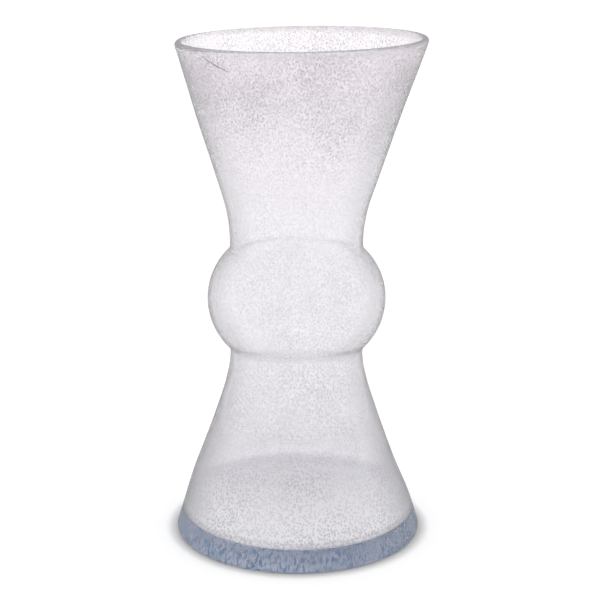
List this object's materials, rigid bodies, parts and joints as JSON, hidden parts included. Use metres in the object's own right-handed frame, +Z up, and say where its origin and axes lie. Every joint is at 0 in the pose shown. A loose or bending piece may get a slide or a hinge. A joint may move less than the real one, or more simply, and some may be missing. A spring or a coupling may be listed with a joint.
{
  "type": "hyacinth forcing vase",
  "caption": "Hourglass vase of seeded glass: open funnel, round bulb between two tight necks, skirt-shaped water chamber and a thick clear foot.",
  "frame": {"origin": "centre of the resting face, on the vase's axis", "axes": "+Z up along the vase's axis, from the foot to the mouth; the vase is round, so +X and +Y are free"},
  "size_m": [0.1098, 0.1097, 0.22],
  "materials": {
    "seeded_glass": "translucent glass filled with fine seed bubbles, smooth and fire-polished outside",
    "clear_glass": "clear pale blue glass with faint streaks, ground and polished underneath"
  },
  "bodies": {
    "root": {"seeded_glass_vessel": "seeded_glass", "clear_glass_foot": "clear_glass"}
  },
  "joints": []
}
